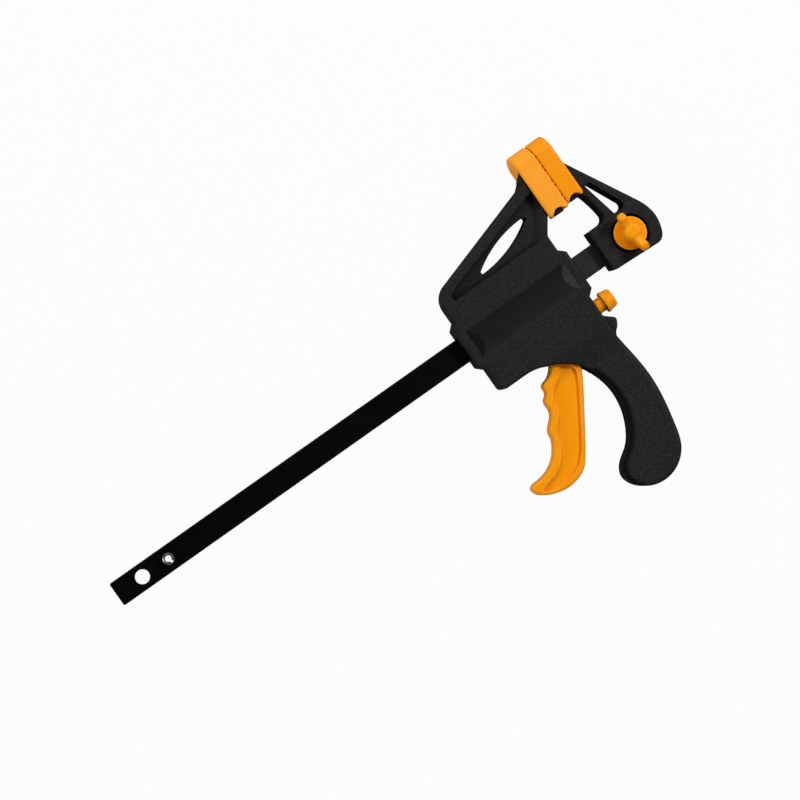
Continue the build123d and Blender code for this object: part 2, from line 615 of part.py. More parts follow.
def brake_plate_face(y):
    """X of the brake plate's left face at a height."""
    slope = math.radians(BRAKE_TILT)
    return (BRAKE_HINGE[0] + (BRAKE_HINGE[1] - y) * math.tan(slope)
            - PLATE_THICKNESS / 2 / math.cos(slope))


def make_brake_spring():
    start = BRAKE_CHAMBER[0]
    end = brake_plate_face(BRAKE_SPRING_Y + BRAKE_SPRING_DIAMETER / 2)
    coil = coil_spring(end - start - 0.1, BRAKE_SPRING_DIAMETER, 0.6, 3.25)
    return Pos(start + 0.05, BRAKE_SPRING_Y, 0) * coil


def make_release_button():
    """Stem and crowned cap, turned about the X axis."""
    stem, cap = BUTTON_STEM_DIAMETER / 2, BUTTON_CAP_DIAMETER / 2
    cap_start = BODY_RIGHT + BUTTON_TRAVEL + BUTTON_STOP_GAP
    cap_end = cap_start + BUTTON_CAP_LENGTH
    groove_start, groove_end = BUTTON_RING_X - 0.05, BUTTON_RING_X + 0.85
    side = make_face([
        Polyline((BUTTON_INNER_END, 0), (BUTTON_INNER_END, stem - 1.0),
                 (BUTTON_INNER_END + 0.6, stem), (groove_start, stem), (groove_start, stem - 0.6),
                 (groove_end, stem - 0.6), (groove_end, stem), (cap_start, stem),
                 (cap_start, cap - 0.2), (cap_start + 0.2, cap), (cap_start + 1.2, cap),
                 (cap_start + 1.3, cap - 0.15), (cap_end - 1.1, cap - 0.65)),
        ThreePointArc((cap_end - 1.1, cap - 0.65), (cap_end - 0.45, cap - 0.95),
                      (cap_end - 0.15, cap - 1.7)),
        Line((cap_end - 0.15, cap - 1.7), (cap_end, 0)),
        Line((cap_end, 0), (BUTTON_INNER_END, 0)),
    ])
    return Pos(0, BUTTON_Y, 0) * revolve(side, Axis.X)


def make_release_button_ring():
    """Open clip in the stem's groove, inside the housing."""
    ring = rod(BUTTON_RING_DIAMETER, (0, 0), 0, 0.8, axis="X")
    ring -= rod(BUTTON_STEM_DIAMETER - 1.1, (0, 0), -1, 2, axis="X")
    ring -= box_between((-1, 2), (-BUTTON_RING_DIAMETER, 0), (-2.2, 2.2))
    return Pos(BUTTON_RING_X, BUTTON_Y, 0) * ring


# ---- assembly -----------------------------------------------------------------------------
def build_nodes():
    near_shell, far_shell = make_housing_halves()
    return {
        "bar": make_bar(),
        "stop_pin": make_stop_pin(),
        "fixed_jaw": make_fixed_jaw(),
        "fixed_jaw_pad": make_pad(FIXED_PAD_BACK, FIXED_PAD_BOTTOM, FIXED_PLATE, JAW_HALF, 44.5),
        "jaw_nut": make_jaw_nut(),
        "knob_washer": make_knob_washer(),
        "wing_knob": make_wing_knob(),
        "clamp_screw": make_clamp_screw(),
        "housing_near_shell": near_shell,
        "housing_far_shell": far_shell,
        "housing_screws": make_housing_screws(),
        "movable_jaw_pad": make_pad(ARM_END, MOVABLE_PAD_BOTTOM, MOVABLE_PLATE, 8.3, 45.4),
        "trigger": make_trigger(),
        "trigger_pivot_pin": make_trigger_pivot_pin(),
        "drive_plate_front": make_drive_plate(0),
        "drive_plate_rear": make_drive_plate(1),
        "drive_spring": make_drive_spring(),
        "brake_plate": make_brake_plate(),
        "brake_spring": make_brake_spring(),
        "release_button": make_release_button(),
        "release_button_ring": make_release_button_ring(),
    }


def write_part():
    os.makedirs("parts", exist_ok=True)
    to_part_frame = Pos(*(-value for value in PART_ORIGIN))
    for name, shape in build_nodes().items():
        export_step(to_part_frame * shape, f"parts/{name}.step")


write_part()
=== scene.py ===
# %% [markdown]
# # A quick release bar clamp, from bare solids to a finished picture
# The clamp lies closed on its far side. Its solids come ready made, each at its real size and
# place, and each rides on the body that it moves with. This lesson gives them their finishes,
# adds what is too fine for the solids, such as a screw's thread, and sets up a small studio
# with a camera.

# %% Load the clamp's solids
import math

import bmesh
import bpy
from mathutils import Matrix, Vector


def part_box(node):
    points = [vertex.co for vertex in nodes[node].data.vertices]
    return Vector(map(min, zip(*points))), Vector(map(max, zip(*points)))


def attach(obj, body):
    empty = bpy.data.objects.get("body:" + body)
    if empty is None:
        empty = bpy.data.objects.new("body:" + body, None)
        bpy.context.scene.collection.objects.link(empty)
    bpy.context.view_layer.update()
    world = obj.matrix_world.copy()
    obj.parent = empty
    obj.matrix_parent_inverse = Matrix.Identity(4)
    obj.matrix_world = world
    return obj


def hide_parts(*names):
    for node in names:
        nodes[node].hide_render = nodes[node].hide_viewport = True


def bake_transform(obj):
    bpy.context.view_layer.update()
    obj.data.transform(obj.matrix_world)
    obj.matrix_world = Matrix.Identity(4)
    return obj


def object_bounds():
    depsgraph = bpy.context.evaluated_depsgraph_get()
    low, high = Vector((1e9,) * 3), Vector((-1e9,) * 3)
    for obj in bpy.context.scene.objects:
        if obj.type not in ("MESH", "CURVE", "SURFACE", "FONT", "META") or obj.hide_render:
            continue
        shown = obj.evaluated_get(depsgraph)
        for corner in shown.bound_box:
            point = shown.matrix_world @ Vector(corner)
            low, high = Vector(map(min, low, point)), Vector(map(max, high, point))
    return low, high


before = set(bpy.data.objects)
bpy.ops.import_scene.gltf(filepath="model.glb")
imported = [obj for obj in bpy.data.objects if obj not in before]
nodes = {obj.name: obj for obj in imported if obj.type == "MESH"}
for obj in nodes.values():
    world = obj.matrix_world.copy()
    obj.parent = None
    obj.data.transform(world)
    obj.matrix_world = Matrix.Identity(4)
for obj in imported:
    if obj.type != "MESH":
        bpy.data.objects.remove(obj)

cad_low, cad_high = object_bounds()
MM = 0.001
print("solids:", len(nodes), "size in mm:", [round(side / MM, 1) for side in cad_high - cad_low])

# %% [markdown]
# ## The place that everything else is measured from
# The solids tell where the clamp's own landmarks are, so no place is typed twice. The bar gives
# the line that the housing slides along, and the hole near its free end is where a drawing of
# this clamp would start. Places further on are given in millimetres from that hole.

# %% Find the hole in the bar's free end
HOLE_FROM_END = 13.2 * MM
bar_low, bar_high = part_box("bar")
bar_centre = (bar_low + bar_high) / 2
free_hole = Vector((bar_low.x + HOLE_FROM_END, bar_centre.y, bar_centre.z))
print("the hole in the bar is at, in mm:", [round(v / MM, 2) for v in free_hole])

# %% [markdown]
# ## The camera
# A product picture of a long tool is taken from far away with a long lens, so that the bar's
# two ends look equally thick. Here the camera hangs high above the clamp and is rolled, which
# makes the bar climb to the right. Its axes are worked out from where it hangs and where it
# looks, and the roll is the angle that the bar shows in the picture.

# %% Hang the camera
CAMERA_FROM_HOLE = Vector((0, 42.5, 1430)) * MM
TARGET_FROM_HOLE = Vector((132.14, -1.70, 0)) * MM
BAR_CLIMBS = math.radians(35.206)
LENS_MM, SENSOR_MM = 152.16, 36
NEAREST_SEEN, FARTHEST_SEEN = 0.05, 20


def hang_camera():
    camera = bpy.data.objects.new("camera", bpy.data.cameras.new("camera"))
    camera.data.lens, camera.data.sensor_width = LENS_MM, SENSOR_MM
    camera.data.clip_start, camera.data.clip_end = NEAREST_SEEN, FARTHEST_SEEN
    place = free_hole + CAMERA_FROM_HOLE
    ahead = (free_hole + TARGET_FROM_HOLE - place).normalized()
    level_right = (Vector((1, 0, 0)) - ahead * ahead.x).normalized()
    level_up = level_right.cross(ahead)
    right = math.cos(BAR_CLIMBS) * level_right - math.sin(BAR_CLIMBS) * level_up
    up = math.sin(BAR_CLIMBS) * level_right + math.cos(BAR_CLIMBS) * level_up
    axes = Matrix((right, up, -ahead)).transposed().to_4x4()
    camera.matrix_world = Matrix.Translation(place) @ axes
    bpy.context.scene.collection.objects.link(camera)
    bpy.context.scene.camera = camera
    return right, up


picture_right, picture_up = hang_camera()
print("the picture's right is", [round(v, 3) for v in picture_right])

# %% [markdown]
# ## The studio
# Black plastic shows its shape only by what it mirrors, so it wants large soft lamps and a dark
# ceiling. The key lamp hangs at the upper right, and three weaker ones fill in from the left,
# from above and from below in the picture. Their places are given along the picture's own right
# and up, so they stay where they look right if the camera turns. The floor is a stage: it takes
# the clamp's shadow but doesn't belong to the clamp.

# %% Lay the floor
FLOOR_SIZE = 4.0
FLOOR_GAP = 0.05 * MM


def lay_floor():
    half = FLOOR_SIZE / 2
    corners = [(-half, -half, 0), (half, -half, 0), (half, half, 0), (-half, half, 0)]
    mesh = bpy.data.meshes.new("studio_floor")
    mesh.from_pydata(corners, [], [(0, 1, 2, 3)])
    floor = bpy.data.objects.new("studio_floor", mesh)
    floor.location.z = cad_low.z - FLOOR_GAP
    bpy.context.scene.collection.objects.link(floor)
    return floor


floor = lay_floor()
print("the floor lies at, in mm:", round(floor.location.z / MM, 2))

# %% Hang the lamps
LAMPS_AIM_AT = Vector((0.03, 0, 0))
LAMPS = {
    # name: (metres along the picture's right, its up, height), power in watts, side in metres
    "key_lamp": ((0.98, 0.72, 1.10), 17.4, 0.35),
    "left_lamp": ((-1.40, -0.40, 0.50), 13.0, 0.8),
    "top_lamp": ((-0.50, 1.25, 0.95), 12.0, 0.7),
    "low_lamp": ((0.45, -1.45, 1.05), 5.0, 1.0),
}


def hang_lamp(name, place, watts, side):
    right, up, height = place
    lamp = bpy.data.objects.new(name, bpy.data.lights.new(name, "AREA"))
    lamp.data.energy, lamp.data.size = watts, side
    lamp.location = picture_right * right + picture_up * up + Vector((0, 0, height))
    aim = LAMPS_AIM_AT - lamp.location
    lamp.rotation_euler = aim.to_track_quat("-Z", "Y").to_euler()
    bpy.context.scene.collection.objects.link(lamp)


for name, (place, watts, side) in LAMPS.items():
    hang_lamp(name, place, watts, side)
print("lamps:", ", ".join(LAMPS))

# %% [markdown]
# ## Small helpers for shader nodes
# A material is a tree of nodes. A few short helpers keep the recipes readable: one adds a node
# and sets its properties, one fills or links its sockets, some do arithmetic, and one makes a
# reusable group with named sockets.

# %% Helpers: nodes and their sockets
def add(tree, kind, **settings):
    node = tree.nodes.new("ShaderNode" + kind)
    for name, value in settings.items():
        setattr(node, name, value)
    return node


def plug(tree, socket, value):
    """Links the socket to another node's output, or sets it to a plain value."""
    if isinstance(value, bpy.types.NodeSocket):
        tree.links.new(value, socket)
    else:
        socket.default_value = value


def feed(tree, node, **values):
    """Plugs a node's inputs by name; a name's underscores stand for spaces."""
    for name, value in values.items():
        plug(tree, node.inputs[name.replace("_", " ")], value)
    return node


def parts_of(tree, vector):
    """The X, Y and Z of a vector."""
    parts = add(tree, "SeparateXYZ")
    tree.links.new(vector, parts.inputs[0])
    return parts.outputs["X"], parts.outputs["Y"], parts.outputs["Z"]


# %% Helpers: arithmetic and colours
def calculate(tree, operation, first, second=0.0, clamp=False):
    node = add(tree, "Math", operation=operation, use_clamp=clamp)
    plug(tree, node.inputs[0], first)
    plug(tree, node.inputs[1], second)
    return node.outputs[0]


def times(tree, first, *others):
    for other in others:
        first = calculate(tree, "MULTIPLY", first, other)
    return first


def spread(tree, value, low, high, to_low=0.0, to_high=1.0):
    """Maps a value's range to another range, clamped."""
    node = add(tree, "MapRange")
    feed(tree, node, Value=value, From_Min=low, From_Max=high, To_Min=to_low, To_Max=to_high)
    return node.outputs["Result"]


def grey(level):
    return (level, level, level, 1)


def blend_colours(tree, share, first, second):
    """The Mix node has a set of sockets for each kind of data; 6 and 7 are its two colours."""
    node = add(tree, "Mix", data_type="RGBA")
    for number, value in ((0, share), (6, first), (7, second)):
        plug(tree, node.inputs[number], value)
    return node.outputs[2]


# %% Helpers: groups, bumps and materials
def new_group(name, inputs, outputs):
    group = bpy.data.node_groups.new(name, "ShaderNodeTree")
    for socket, default in inputs.items():
        made = group.interface.new_socket(socket, in_out="INPUT", socket_type="NodeSocketFloat")
        made.default_value = default
    for socket in outputs:
        group.interface.new_socket(socket, in_out="OUTPUT", socket_type="NodeSocketFloat")
    return group, group.nodes.new("NodeGroupInput"), group.nodes.new("NodeGroupOutput")


def bump(tree, height, depth, strength):
    node = feed(tree, add(tree, "Bump"), Height=height, Distance=depth, Strength=strength)
    return node.outputs[0]


def new_material(name):
    material = bpy.data.materials.new(name)
    material.use_nodes = True
    return material, material.node_tree, material.node_tree.nodes["Principled BSDF"]


EFFECTS = {}


def effect(tree, name, **values):
    node = add(tree, "Group", node_tree=EFFECTS[name])
    return feed(tree, node, **values).outputs


# %% [markdown]
# ## Effect: sparked grain
# Moulds for tool handles are often cut by sparks, which leave shallow pits about half a
# millimetre across. Fine noise gives the pits, and a soft cell pattern the lumps between them.
# The same noise picks the specks where glass fibre shows. All patterns start from object
# coordinates, so they stay on the part when it moves.

# %% Group: sparked grain
PIT_SHARE, LUMP_SHARE = 0.65, 0.45
LUMPS_TO_PITS = 0.8
SPECKS_ABOVE, SPECKS_FULL = 0.45, 0.66


def make_grain_group():
    group, enter, leave = new_group(
        "sparked grain", {"Grain size": 0.35 * MM}, ("Height", "Speck"))
    place = add(group, "TexCoord").outputs["Object"]
    scale = calculate(group, "DIVIDE", 1.0, enter.outputs["Grain size"])
    pits = feed(group, add(group, "TexNoise"), Vector=place, Scale=scale, Detail=3.0,
                Roughness=0.65).outputs[0]
    lumps = feed(group, add(group, "TexVoronoi", feature="SMOOTH_F1"), Vector=place,
                 Scale=times(group, scale, LUMPS_TO_PITS), Smoothness=0.6)
    height = calculate(group, "ADD", times(group, pits, PIT_SHARE),
                       times(group, lumps.outputs["Distance"], LUMP_SHARE))
    feed(group, leave, Height=height, Speck=spread(group, pits, SPECKS_ABOVE, SPECKS_FULL))
    return group


EFFECTS["grain"] = make_grain_group()
print("made", EFFECTS["grain"].name)

# %% [markdown]
# ## Effect: edge polish
# Hands and benches rub convex edges smooth. The Bevel node gives the direction that a rounded
# edge would face, and where it turns away from the true surface there is an edge. Slow noise
# breaks the rubbed line up, because no edge wears evenly.

# %% Group: edge polish
EDGE_STARTS, EDGE_FULL = 0.015, 0.16
PATCHES_PER_METRE = 160.0
PATCH_STARTS, PATCH_FULL = 0.32, 0.62


def make_edge_group():
    group, enter, leave = new_group("edge polish", {"Width": 0.5 * MM}, ("Rubbed",))
    soft = feed(group, add(group, "Bevel", samples=4), Radius=enter.outputs["Width"])
    turn = add(group, "VectorMath", operation="DOT_PRODUCT")
    group.links.new(soft.outputs[0], turn.inputs[0])
    group.links.new(add(group, "NewGeometry").outputs["Normal"], turn.inputs[1])
    bend = calculate(group, "SUBTRACT", 1.0, turn.outputs["Value"])
    place = add(group, "TexCoord").outputs["Object"]
    patchy = feed(group, add(group, "TexNoise"), Vector=place, Scale=PATCHES_PER_METRE,
                  Detail=3.0).outputs[0]
    feed(group, leave, Rubbed=times(group, spread(group, bend, EDGE_STARTS, EDGE_FULL),
                                    spread(group, patchy, PATCH_STARTS, PATCH_FULL)))
    return group


EFFECTS["edge"] = make_edge_group()
print("made", EFFECTS["edge"].name)

# %% [markdown]
# ## Effect: shaded corners
# Inside corners are painted darker, as painted shade. The Ambient Occlusion node counts how open
# the space over a point is, within a short reach, which finds exactly those corners.

# %% Group: shaded corners
CORNER_FULL, CORNER_STARTS = 0.45, 0.92


def make_corner_group():
    group, enter, leave = new_group("shaded corners", {"Reach": 3 * MM}, ("Corner",))
    openness = feed(group, add(group, "AmbientOcclusion", samples=6),
                    Distance=enter.outputs["Reach"]).outputs["AO"]
    feed(group, leave, Corner=spread(group, openness, CORNER_FULL, CORNER_STARTS, 1.0, 0.0))
    return group


EFFECTS["corner"] = make_corner_group()
print("made", EFFECTS["corner"].name)

# %% [markdown]
# ## Effect: handling
# Every used tool has a slow unevenness of gloss. One cloud of noise is enough for it; each
# finish decides how large the patches are and how much they change its roughness.

# %% Group: handling
SMUDGE_STARTS, SMUDGE_FULL = 0.35, 0.68


def make_handling_group():
    group, enter, leave = new_group("handling", {"Patch size": 14 * MM}, ("Smudge",))
    place = add(group, "TexCoord").outputs["Object"]
    scale = calculate(group, "DIVIDE", 1.0, enter.outputs["Patch size"])
    cloud = feed(group, add(group, "TexNoise"), Vector=place, Scale=scale, Detail=4.0,
                 Roughness=0.6).outputs[0]
    feed(group, leave, Smudge=spread(group, cloud, SMUDGE_STARTS, SMUDGE_FULL))
    return group


EFFECTS["handling"] = make_handling_group()
print("made", EFFECTS["handling"].name)

# %% [markdown]
# ## Effect: drawn lines
# Rolling and grinding leave faint streaks in steel. Noise that is stretched along X, which is
# the length of the bar, gives lines as fine as the real ones.

# %% Group: drawn lines
STREAKS_ABOVE, STREAKS_FULL = 0.42, 0.70


def make_lines_group():
    group, enter, leave = new_group(
        "drawn lines", {"Line width": 0.12 * MM, "Stretch": 60.0}, ("Height", "Streak"))
    x, y, z = parts_of(group, add(group, "TexCoord").outputs["Object"])
    slow_x = calculate(group, "DIVIDE", x, enter.outputs["Stretch"])
    stretched = feed(group, add(group, "CombineXYZ"), X=slow_x, Y=y, Z=z).outputs[0]
    scale = calculate(group, "DIVIDE", 1.0, enter.outputs["Line width"])
    lines = feed(group, add(group, "TexNoise"), Vector=stretched, Scale=scale,
                 Detail=2.0).outputs[0]
    feed(group, leave, Height=lines, Streak=spread(group, lines, STREAKS_ABOVE, STREAKS_FULL))
    return group


EFFECTS["lines"] = make_lines_group()
print("made", EFFECTS["lines"].name)

# %% [markdown]
# ## Places on the surface
# Some finishes stop at a line: the polished panel on the body, the stretch of the bar beside
# the jaw, the seam where two mouldings meet. A mask for such a place compares the surface's own
# coordinates with its limits, so it needs no picture and stays where it is when the clamp
# moves.

# %% Helpers: masks from coordinates
CRISP = 0.02 * MM


def surface_axes(tree, source="Object"):
    """X, Y and Z of a point of the surface, or of the direction that it faces."""
    return parts_of(tree, add(tree, "TexCoord").outputs[source])


def between(tree, value, low, high, soft=CRISP):
    """1 where a value lies between two limits, 0 elsewhere."""
    above = spread(tree, value, low - soft, low + soft)
    below = spread(tree, value, high - soft, high + soft, 1.0, 0.0)
    return times(tree, above, below)


# %% [markdown]
# ## The panel on the body
# A shallow scoop runs along the body, polished in the mould, so it is blacker and smoother than
# the grain around it. A slanted facet closes it at each end. The left one is painted darker
# still, as painted shade, and the right one carries the grain again and is painted paler, as
# painted light. The two are told from the scoop by the way they face.

# %% Masks of the panel
PANEL_X = (free_hole.x + 170.4 * MM, free_hole.x + 222.1 * MM)
PANEL_Y = (free_hole.y - 7.38 * MM, free_hole.y + 6.33 * MM)
PANEL_Z = (free_hole.z + 7.5 * MM, free_hole.z + 9.46 * MM)
FACET_TILT, TILT_BLUR = 0.08, 0.03


def panel_masks(tree):
    x, y, z = surface_axes(tree)
    facing_x = surface_axes(tree, "Normal")[0]
    inside = times(tree, between(tree, x, *PANEL_X), between(tree, y, *PANEL_Y),
                   between(tree, z, *PANEL_Z))
    left = spread(tree, facing_x, FACET_TILT, FACET_TILT + TILT_BLUR)
    right = spread(tree, facing_x, -FACET_TILT - TILT_BLUR, -FACET_TILT, 1, 0)
    polished = times(tree, inside, calculate(tree, "SUBTRACT", 1.0, right))
    return {"panel": polished, "left facet painted shade": times(tree, inside, left),
            "right facet painted light": times(tree, inside, right)}


print("the panel is", round((PANEL_X[1] - PANEL_X[0]) / MM, 1), "mm long")

# %% [markdown]
# ## Walls, seam and grip
# The mouldings' walls, which face sideways, are painted nearly black as painted shade, and are
# made dead matt, so they mirror little. The two halves of the mould met along their middle and
# left a fine seam there. Along the inner side of the handle a narrow strip of the broad faces is
# painted as dark as the wall below it, as painted shade. It is found with a wide Bevel, whose
# direction turns towards the wall just beside the edge, and it stands in for the shade on the
# rounder, deeper side of a real grip.

# %% Masks of the walls, the seam and the grip
WALL_BELOW, FLAT_ABOVE = 0.25, 0.75
SEAM_HALF, SEAM_BLUR = 0.13 * MM, 0.06 * MM
GRIP_X, GRIP_Y = free_hole.x + 187 * MM, free_hole.y - 36 * MM
GRIP_X_BLUR, GRIP_Y_BLUR = 1 * MM, 3 * MM
GRIP_ROUNDING = 3.4 * MM
GRIP_FACES_X, GRIP_FACES_Y = -0.95, 0.30
GRIP_STARTS, GRIP_FULL = 0.16, 0.24


def wall_masks(tree):
    facing_up = calculate(tree, "ABSOLUTE", surface_axes(tree, "Normal")[2])
    # Walls that face sideways; the nylon paints them nearly black, as painted shade.
    walls_painted_shade = spread(tree, facing_up, WALL_BELOW, FLAT_ABOVE, 1, 0)
    z = surface_axes(tree)[2]
    line = between(tree, z, free_hole.z - SEAM_HALF, free_hole.z + SEAM_HALF, SEAM_BLUR)
    return {"walls_painted_shade": walls_painted_shade, "seam": times(tree, line, walls_painted_shade)}


# A strip beside the handle's inner edge, which the nylon paints as dark as the wall, as painted
# shade.
def painted_grip_shade_mask(tree):
    soft = feed(tree, add(tree, "Bevel", samples=6), Radius=GRIP_ROUNDING).outputs[0]
    soft_x, soft_y, _ = parts_of(tree, soft)
    turned = calculate(tree, "ADD", times(tree, soft_x, GRIP_FACES_X),
                       times(tree, soft_y, GRIP_FACES_Y))
    x, y, _ = surface_axes(tree)
    return {"grip_painted_shade": times(tree, spread(tree, turned, GRIP_STARTS, GRIP_FULL),
                          spread(tree, x, GRIP_X, GRIP_X + GRIP_X_BLUR),
                          spread(tree, y, GRIP_Y - GRIP_Y_BLUR, GRIP_Y, 1, 0))}


print("the seam is", round(2 * SEAM_HALF / MM, 2), "mm wide")

# %% [markdown]
# ## Black nylon
# Housing and jaw are moulded from glass filled nylon. Its grain scatters the lamps and looks
# dark grey rather than black, and glass fibres show as paler specks. The colour is built as a
# painter would: grain and specks first, then each special place over them, in the order of the
# table. Roughness goes the same way, with a list of what is smoother and what is dead matt.

# %% Colour and roughness of the nylon
GRAIN_GREYS, PAINTED_LIGHT_GRAIN_GREYS = (0.0030, 0.0205), (0.0170, 0.0480)
# The left facet, the corners, the walls and the grip strip are painted shade; the rubbed edges
# are wear.
NYLON_LAYERS = {
    # place: (how much of it shows, its grey)
    "panel": (1.0, 0.0052),
    "left facet painted shade": (1.0, 0.0012),
    "rubbed": (0.30, 0.028),
    "corner": (0.60, 0.0008),
    "walls_painted_shade": (0.60, 0.0015),
    "seam": (1.0, 0.002),
    "grip_painted_shade": (1.0, 0.0006),
}
NYLON_ROUGHNESS = (0.66, 0.56)
SMOOTHER_BY = {"rubbed": 0.12, "panel": 0.16}
DEAD_MATT = {"left facet painted shade": 1.0, "corner": 0.8, "walls_painted_shade": 1.0, "grip_painted_shade": 1.0}
DEAD_MATT_ADDS = 0.45


def nylon_colour(tree, masks):
    colour, lit_grain = (blend_colours(tree, masks["specks"], grey(dark), grey(light))
                    for dark, light in (GRAIN_GREYS, PAINTED_LIGHT_GRAIN_GREYS))
    # The right facet takes the paler grain greys, as painted light.
    colour = blend_colours(tree, masks["right facet painted light"], colour, lit_grain)
    for place, (amount, level) in NYLON_LAYERS.items():
        colour = blend_colours(tree, times(tree, masks[place], amount), colour, grey(level))
    return colour


def nylon_roughness(tree, masks):
    rough = spread(tree, masks["smudge"], 0, 1, *NYLON_ROUGHNESS)
    for place, step in SMOOTHER_BY.items():
        rough = calculate(tree, "SUBTRACT", rough, times(tree, masks[place], step))
    dull = 0.0
    for place, amount in DEAD_MATT.items():
        dull = calculate(tree, "MAXIMUM", dull, times(tree, masks[place], amount))
    return calculate(tree, "ADD", rough, times(tree, dull, DEAD_MATT_ADDS), clamp=True)


# %% Material: black nylon
NYLON_GRAIN_DEPTH, NYLON_GRAIN_STRENGTH = 0.10 * MM, 0.9
SEAM_DEPTH = 2.0


def make_black_nylon():
    material, tree, shader = new_material("grained black nylon")
    grain = effect(tree, "grain", Grain_size=0.55 * MM)
    masks = {**panel_masks(tree), **wall_masks(tree), **painted_grip_shade_mask(tree)}
    masks["rubbed"] = effect(tree, "edge", Width=0.5 * MM)["Rubbed"]
    masks["smudge"] = effect(tree, "handling", Patch_size=16 * MM)["Smudge"]
    masks["corner"] = effect(tree, "corner", Reach=2.0 * MM)["Corner"]
    grained = calculate(tree, "SUBTRACT", 1.0, masks["panel"])
    masks["specks"] = times(tree, grain["Speck"], grained)
    height = calculate(tree, "SUBTRACT", times(tree, grain["Height"], grained),
                       times(tree, masks["seam"], SEAM_DEPTH))
    feed(tree, shader, Base_Color=nylon_colour(tree, masks),
         Roughness=nylon_roughness(tree, masks), Specular_IOR_Level=0.17,
         Normal=bump(tree, height, NYLON_GRAIN_DEPTH, NYLON_GRAIN_STRENGTH))
    return material


NYLON = make_black_nylon()
print(NYLON.name, "has", len(NYLON.node_tree.nodes), "nodes")

# %% [markdown]
# ## Blackened bar
# The bar is rolled steel, blackened. The housing has polished most of its length to a deep
# black, with faint streaks along it. The short stretch beside the fixed jaw is rougher, and is
# painted greyer, as a painted reflection. Its narrow edges are rubbed.

# %% Material: blackened steel
MATT_FROM_HOLE, MATT_BLUR = 221.0 * MM, 4 * MM
MATT_ADDS = 0.2
BAR_STREAKS, BAR_RUBBED, BAR_RUBBED_GREY = 0.45, 0.4, 0.030
POLISHED_GREYS, PAINTED_REFLECTION_GREYS = (0.0006, 0.0025), (0.018, 0.028)
BAR_ROUGHNESS = (0.40, 0.31)


def make_black_steel():
    material, tree, shader = new_material("blackened steel")
    lines = effect(tree, "lines", Line_width=0.16 * MM, Stretch=70.0)
    rubbed = effect(tree, "edge", Width=0.35 * MM)["Rubbed"]
    smudge = effect(tree, "handling", Patch_size=22 * MM)["Smudge"]
    matt_from = free_hole.x + MATT_FROM_HOLE
    matt = spread(tree, surface_axes(tree)[0], matt_from, matt_from + MATT_BLUR)
    streaks = times(tree, lines["Streak"], BAR_STREAKS)
    # The second pair of greys, beside the jaw, is a painted reflection.
    polished, dull = (blend_colours(tree, streaks, grey(dark), grey(light))
                      for dark, light in (POLISHED_GREYS, PAINTED_REFLECTION_GREYS))
    colour = blend_colours(tree, matt, polished, dull)
    colour = blend_colours(tree, times(tree, rubbed, BAR_RUBBED), colour, grey(BAR_RUBBED_GREY))
    rough = calculate(tree, "ADD", spread(tree, smudge, 0, 1, *BAR_ROUGHNESS),
                      times(tree, matt, MATT_ADDS))
    feed(tree, shader, Base_Color=colour, Roughness=rough, Specular_IOR_Level=0.10,
         Normal=bump(tree, lines["Height"], 0.012 * MM, 0.5))
    return material


BAR_BLACK = make_black_steel()
print(BAR_BLACK.name, "turns matt at, in mm from the hole:", round(MATT_FROM_HOLE / MM))

# %% [markdown]
# ## Orange plastic
# Knob, trigger and button are hard plastic with a satin gloss. The mould's finish is so fine
# that it shows only as a slight softness of the gloss. Rubbed edges turn paler, and that pale
# cream along the edges is partly a painted highlight.

# %% Material: orange plastic
ORANGE, ORANGE_WORN_AND_HIGHLIT = (0.875, 0.300, 0.0008, 1), (0.960, 0.500, 0.130, 1)
ORANGE_RUBBED_AND_HIGHLIT = 0.60
ORANGE_ROUGHNESS = (0.44, 0.34)


def make_orange_plastic():
    material, tree, shader = new_material("orange plastic")
    grain = effect(tree, "grain", Grain_size=0.7 * MM)
    rubbed = effect(tree, "edge", Width=0.8 * MM)["Rubbed"]
    smudge = effect(tree, "handling", Patch_size=8 * MM)["Smudge"]
    # The paler edges are wear and a painted highlight.
    colour = blend_colours(tree, times(tree, rubbed, ORANGE_RUBBED_AND_HIGHLIT), ORANGE, ORANGE_WORN_AND_HIGHLIT)
    feed(tree, shader, Base_Color=colour, Specular_IOR_Level=0.12,
         Roughness=spread(tree, smudge, 0, 1, *ORANGE_ROUGHNESS),
         Normal=bump(tree, grain["Height"], 0.010 * MM, 0.5))
    return material


ORANGE_SATIN = make_orange_plastic()
print(ORANGE_SATIN.name, "has", len(ORANGE_SATIN.node_tree.nodes), "nodes")

# %% [markdown]
# ## Orange pads
# The pads are softer than the plastic, matt, and let a little light in under their skin, which
# is why their edges glow. Dust and rubbed edges pale them unevenly. One pad is also painted
# paler all over than the other, as painted light on its faces, so the recipe takes that paleness
# as a number.

# %% Recipe: soft orange pad
PAD_ORANGE, PAD_DUSTY_AND_LIT = (0.850, 0.280, 0.0008, 1), (0.950, 0.400, 0.050, 1)
PAD_RUBBED, DUST_VARIES = 0.35, 0.2
PAD_ROUGHNESS = (0.60, 0.50)
LIGHT_REACHES = (2.0 * MM, 0.8 * MM, 0.2 * MM)


